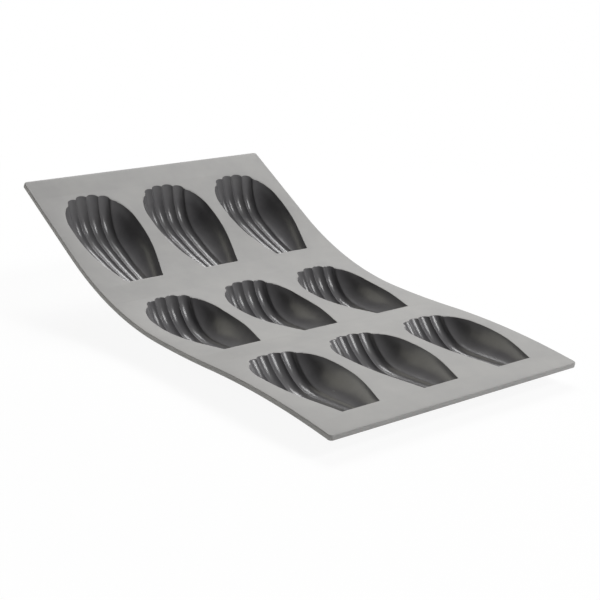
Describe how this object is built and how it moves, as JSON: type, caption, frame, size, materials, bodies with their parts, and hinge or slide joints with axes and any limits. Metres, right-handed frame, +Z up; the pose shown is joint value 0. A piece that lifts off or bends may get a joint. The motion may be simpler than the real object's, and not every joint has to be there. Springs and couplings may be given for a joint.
{
  "type": "madeleine mould",
  "caption": "Flexible baking mould: a thin rectangular sheet with fluted shell-shaped cups in rows, bent up at its back edge. It flexes between the rows.",
  "frame": {"origin": "on the surface the mould stands on, under the middle of its width and length", "axes": "+X across the mould, +Y from the front edge to the raised back edge, +Z up"},
  "size_m": [0.176, 0.2884, 0.0722],
  "materials": {
    "sheet": "satin moulded silicone, light grey",
    "cup": "smoother moulded silicone, darker grey inside the cups"
  },
  "bodies": {
    "middle_row": {"deck_middle": "sheet", "flex_strip_front": "sheet", "flex_strip_back": "sheet", "cup_middle_left": "cup", "cup_middle_centre": "cup", "cup_middle_right": "cup"},
    "front_row": {"deck_front": "sheet", "cup_front_left": "cup", "cup_front_centre": "cup", "cup_front_right": "cup"},
    "back_row": {"deck_back": "sheet", "cup_back_left": "cup", "cup_back_centre": "cup", "cup_back_right": "cup"}
  },
  "joints": [
    {"name": "front_flex", "type": "hinge", "parent": "middle_row", "child": "front_row", "pos_m": [0, -0.04222, 0.01501], "axis": [-1, 0, 0], "range_deg": [-45, 85], "deforming": ["flex_strip_front"]},
    {"name": "back_flex", "type": "hinge", "parent": "middle_row", "child": "back_row", "pos_m": [0, 0.05233, 0.02417], "axis": [1, 0, 0], "range_deg": [-70, 60], "deforming": ["flex_strip_back"]}
  ]
}
